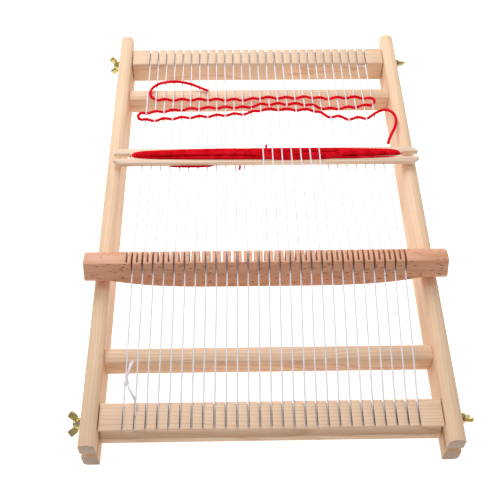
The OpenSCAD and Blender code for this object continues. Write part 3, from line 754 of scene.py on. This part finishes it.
def eased(node, body, material, round_mm):
    """A wooden CAD node with its sharp edges eased by sanding, so that they catch the light."""
    mesh = frame["nodes"][node].data.copy()
    mesh.name = node + "_eased"
    mesh.materials.clear()
    mesh.materials.append(material)
    work = bmesh.new()
    work.from_mesh(mesh)
    bmesh.ops.remove_doubles(work, verts=work.verts, dist=0.004 * MM)
    bmesh.ops.dissolve_limit(work, angle_limit=math.radians(0.5), verts=work.verts, edges=work.edges)
    bmesh.ops.recalc_face_normals(work, faces=work.faces)
    work.to_mesh(mesh)
    work.free()
    obj = show(bpy.data.objects.new(node + "_eased", mesh))
    edge = obj.modifiers.new("eased", "BEVEL")
    edge.width = round_mm * MM
    edge.segments = 2
    edge.limit_method = "ANGLE"
    edge.angle_limit = math.radians(35)
    edge.use_clamp_overlap = True
    obj = bake(obj)
    obj.data.polygons.foreach_set("use_smooth", [True] * len(obj.data.polygons))
    obj.data.set_sharp_from_angle(angle=math.radians(38))
    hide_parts(node)
    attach(obj, body)
    return obj


eased("left_side_rail", "frame", pine_rails, 0.4)
eased("right_side_rail", "frame", pine_rails, 0.4)
eased("front_stretcher", "frame", pine_cross, 0.35)
eased("back_stretcher", "frame", pine_cross, 0.35)
eased("front_warp_beam", "front_beam", pine_cross, 0.22)
eased("back_warp_beam", "back_beam", pine_cross, 0.22)
eased("heddle_bar", "heddle", beech, 0.3)
eased("shuttle_stick", "shuttle", basswood, 0.45)

pegs = frame["nodes"]["stretcher_pegs"]
pegs.data.materials.clear()
pegs.data.materials.append(basswood)


# ---- studs and wing nuts ----------------------------------------------------

def threaded_stud(node, body):
    """Two studs with a rolled thread, one at each end of the beam."""
    low, high = box_mm(node)
    middle_y, middle_z, radius = (low.y + high.y) / 2, (low.z + high.z) / 2, (high.z - low.z) / 2
    inner_x = back_beam_high.x - 24  # the stud's length in the beam
    sides, pitch, depth, step, lead_in = 20, 0.8, 0.3, 0.2, 0.6
    count = round((high.x - inner_x) / step)
    points, faces = [], []
    for side in (-1, 1):
        faces += ring_faces(count, sides, len(points))
        for r in range(count + 1):
            x = inner_x + (high.x - inner_x) * r / count
            tip = min(1, (high.x - x) / lead_in, (x - inner_x) / lead_in)
            for s in range(sides):
                turn = (x / pitch + s / sides) % 1
                here = radius - depth * abs(2 * turn - 1) - 0.5 * (1 - tip)
                a = 2 * math.pi * s / sides
                points.append((side * x, middle_y + here * math.cos(a), middle_z + here * math.sin(a)))
    obj = mesh_piece(node + "_threaded", points, faces, zinc)
    face_outwards(obj)
    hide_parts(node)
    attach(obj, body)


threaded_stud("front_beam_studs", "front_beam")
threaded_stud("back_beam_studs", "back_beam")


# A wing nut's hub, as (radius, height) pairs round its closed section.
HUB = ((2.62, 0.5), (2.62, 0.0), (4.5, 0.0), (4.6, 0.35), (4.45, 0.8), (4.05, 1.1), (3.8, 3.6), (3.55, 4.6),
    (3.2, 5.0), (2.75, 5.0), (2.62, 4.7), (2.62, 0.5))
HUB_SIDES, EAR_SIDES = 28, 24
EAR_FOOT = (2.25, 2.5)  # where an ear's own axis starts, out from the nut's axis and up its height
EAR_MIDDLE, EAR_REACH, EAR_WIDE = 4.9, 3.2, 2.9  # along its axis, half its length and half its width
EAR_LEAN = math.radians(54)
EAR_LAYERS = ((-1.3, 0.4), (-1.0, 0.0), (1.0, 0.0), (1.3, 0.4))  # through its thickness: place and inset
NUT_STAND = 0.3  # between a nut and the rail


def wing_nut(node, body, side, turn):
    """A pressed wing nut: a coned hub with a washer face, and two blunt ears that lean outwards."""
    low, high = box_mm(node)
    spin = [2 * math.pi * s / HUB_SIDES for s in range(HUB_SIDES)]
    points = [Vector((r * math.cos(a), r * math.sin(a), z)) for r, z in HUB for a in spin]
    faces = ring_faces(len(HUB) - 1, HUB_SIDES, ends=False)
    # the ear's outline in its own plane: narrower at the hub, with rounded corners
    outline = []
    for k in range(EAR_SIDES):
        c, d = math.cos(2 * math.pi * k / EAR_SIDES), math.sin(2 * math.pi * k / EAR_SIDES)
        outline.append((EAR_MIDDLE + EAR_REACH * math.copysign(abs(c) ** 0.45, c),
            EAR_WIDE * math.copysign(abs(d) ** 0.5, d) * (0.84 + 0.16 * c)))
    for ear in (-1, 1):
        faces += ring_faces(len(EAR_LAYERS) - 1, EAR_SIDES, len(points))
        for level, inset in EAR_LAYERS:
            for u, v in outline:
                u, v = mix(u, EAR_MIDDLE, inset / EAR_REACH), v * (1 - inset / EAR_WIDE)
                x = EAR_FOOT[0] + u * math.cos(EAR_LEAN) - v * math.sin(EAR_LEAN)
                z = EAR_FOOT[1] + u * math.sin(EAR_LEAN) + v * math.cos(EAR_LEAN)
                points.append(Vector((ear * x, level, z)))
    seat = Vector((side * (rail_high.x + NUT_STAND), (low.y + high.y) / 2, (low.z + high.z) / 2))
    place = (Matrix.Translation(seat) @ Matrix.Rotation(side * math.pi / 2, 4, "Y")
        @ Matrix.Rotation(math.radians(turn), 4, "Z"))
    obj = mesh_piece(node + "_pressed", [place @ p for p in points], faces, zinc)
    face_outwards(obj, merge=0.001)
    obj.data.set_sharp_from_angle(angle=math.radians(50))
    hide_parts(node)
    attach(obj, body)


wing_nut("front_left_wing_nut", "front_left_nut", -1, 56)
wing_nut("front_right_wing_nut", "front_right_nut", 1, 35)
wing_nut("back_left_wing_nut", "back_left_nut", -1, 12)
wing_nut("back_right_wing_nut", "back_right_nut", 1, 40)


# ---- floor and lights -------------------------------------------------------

floor_material, floor_tree, floor_shader = start_material("white_paper_floor")
floor_shader.inputs["Base Color"].default_value = paint("#F2F2F2")
floor_shader.inputs["Emission Color"].default_value = paint("#FFFFFF")
# the paper glows white to the camera, and throws less light up at the loom
floor_sight = add(floor_tree, "ShaderNodeLightPath")
floor_glow = add(floor_tree, "ShaderNodeMapRange", {"Value": floor_sight.outputs["Is Camera Ray"],
    "To Min": 0.42, "To Max": 0.78})
floor_tree.links.new(floor_glow.outputs[0], floor_shader.inputs["Emission Strength"])
floor_shader.inputs["Roughness"].default_value = 0.9
floor = mesh_piece("paper_floor", [(-4000, -4000, -0.2), (4000, -4000, -0.2), (4000, 4000, -0.2),
    (-4000, 4000, -0.2)], [(0, 1, 2, 3)], floor_material)

world = bpy.data.worlds.new("studio_air")
world.use_nodes = True
world.node_tree.nodes["Background"].inputs["Color"].default_value = paint("#FFFFFF")
# the camera sees plain white past the floor, and the object a softer light from all round
sight = add(world.node_tree, "ShaderNodeLightPath")
strength = add(world.node_tree, "ShaderNodeMapRange", {"Value": sight.outputs["Is Camera Ray"],
    "To Min": 0.42, "To Max": 1.0})
world.node_tree.links.new(strength.outputs[0], world.node_tree.nodes["Background"].inputs["Strength"])
bpy.context.scene.world = world


def softbox(name, place, target, size, watts, tint):
    """A square studio light that faces its target."""
    data = bpy.data.lights.new(name, "AREA")
    data.shape, data.size, data.energy, data.color = "SQUARE", size, watts, paint(tint)[:3]
    lamp = show(bpy.data.objects.new(name, data))
    lamp.location = place
    lamp.rotation_euler = (Vector(target) - Vector(place)).to_track_quat("-Z", "Y").to_euler()


softbox("key_from_behind", (-0.35, 1.0, 1.05), (0, 0.1, 0), 0.9, 14, "#FFFFFF")
softbox("fill_from_above", (-0.05, 0.04, 0.85), (0, 0.2, 0), 0.5, 1.55, "#FFFFFF")
bpy.context.scene.view_settings.view_transform = "Standard"
